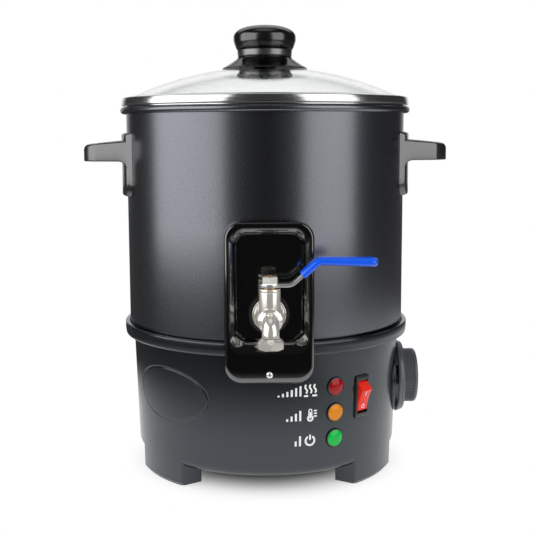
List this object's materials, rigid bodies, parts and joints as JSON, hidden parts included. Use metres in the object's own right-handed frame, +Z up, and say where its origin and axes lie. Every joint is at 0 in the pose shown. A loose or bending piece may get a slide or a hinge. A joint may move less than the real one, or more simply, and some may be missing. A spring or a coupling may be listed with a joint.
{
  "type": "wax melter",
  "caption": "Round heated base with a melting pot, side handles, domed glass lid and a spout valve in a moulded front panel.",
  "frame": {"origin": "on the floor, below the pot's axis", "axes": "+Z up along the pot's axis; the spout valve and its panel point to -Y; the thermostat knob points to +X"},
  "size_m": [0.29, 0.2827, 0.3561],
  "materials": {
    "pot_coating": "charcoal non-stick coating, satin",
    "steel": "plain satin steel",
    "polished_steel": "polished steel",
    "glass": "clear tempered glass, faint green tint",
    "bakelite": "gloss black bakelite",
    "satin_collar": "satin dark grey plastic",
    "base_plastic": "fine-textured charcoal plastic",
    "knob_plastic": "satin black plastic",
    "black_rubber": "matte black rubber",
    "nickel": "bright nickel plating",
    "brass": "plain turned brass",
    "red_fibre": "red fibre washer",
    "ptfe": "white PTFE",
    "blue_vinyl": "dipped blue vinyl",
    "aluminium": "die-cast aluminium",
    "element_steel": "sheathed heating tube",
    "copper": "bare copper",
    "ceramic": "cream ceramic",
    "red_lens": "translucent red lens",
    "amber_lens": "translucent amber lens",
    "green_lens": "translucent green lens",
    "red_rocker": "translucent red rocker",
    "white_rubber": "pale silicone washer"
  },
  "bodies": {
    "melter": {"pot": "pot_coating", "centre_stud": "steel", "handle_left": "bakelite", "handle_right": "bakelite", "handle_screws": "steel", "faucet_panel": "bakelite", "panel_screw": "steel", "valve_washer": "black_rubber", "valve_flange": "nickel", "valve_body": "nickel", "inner_washer": "red_fibre", "lock_nut": "nickel", "valve_spout": "nickel", "spout_nozzle": "nickel", "ball_seats": "ptfe", "stem_packing": "ptfe", "gland_nut": "brass", "base_housing": "base_plastic", "bottom_cover": "base_plastic", "cover_screws": "steel", "foot_pads": "black_rubber", "heating_plate": "aluminium", "heating_element": "element_steel", "heat_reflector": "aluminium", "clamp_spacer": "steel", "clamp_bridge": "steel", "clamp_nut": "steel", "thermal_cutout": "ceramic", "thermostat_body": "steel", "thermostat_bracket": "steel", "thermostat_bulb": "copper", "switch_housing": "knob_plastic", "lamp_bodies": "knob_plastic", "lamp_clips": "steel", "lamp_red": "red_lens", "lamp_amber": "amber_lens", "lamp_green": "green_lens", "terminal_block": "ceramic", "inlet_housing": "knob_plastic", "inlet_pins": "brass", "inlet_screws": "steel"},
    "lid": {"lid_glass": "glass", "lid_ring": "polished_steel", "knob_skirt": "bakelite", "knob_collar": "satin_collar", "knob_cap": "bakelite", "knob_insert": "brass", "knob_washer": "white_rubber", "knob_screw": "steel"},
    "valve_lever": {"valve_lever": "steel", "lever_sleeve": "blue_vinyl", "lever_nut": "nickel", "valve_stem": "brass", "valve_ball": "polished_steel"},
    "thermostat_knob": {"thermostat_knob": "knob_plastic", "thermostat_shaft": "steel"},
    "rocker": {"switch_rocker": "red_rocker"}
  },
  "joints": [
    {"name": "lid_lift", "type": "slide", "parent": "melter", "child": "lid", "axis": [0, 0, 1], "range_m": [0, 0.12]},
    {"name": "lever_turn", "type": "hinge", "parent": "melter", "child": "valve_lever", "pos_m": [0, -0.137, 0.1655], "axis": [0, 0, 1], "range_deg": [-90, 0]},
    {"name": "thermostat_turn", "type": "hinge", "parent": "melter", "child": "thermostat_knob", "pos_m": [0.11, 0, 0.0672], "axis": [1, 0, 0], "range_deg": [-270, 0]},
    {"name": "rocker_turn", "type": "hinge", "parent": "melter", "child": "rocker", "pos_m": [0.06833, -0.07778, 0.07063], "axis": [0.7513, 0.66, 0], "range_deg": [-32, 0]}
  ]
}
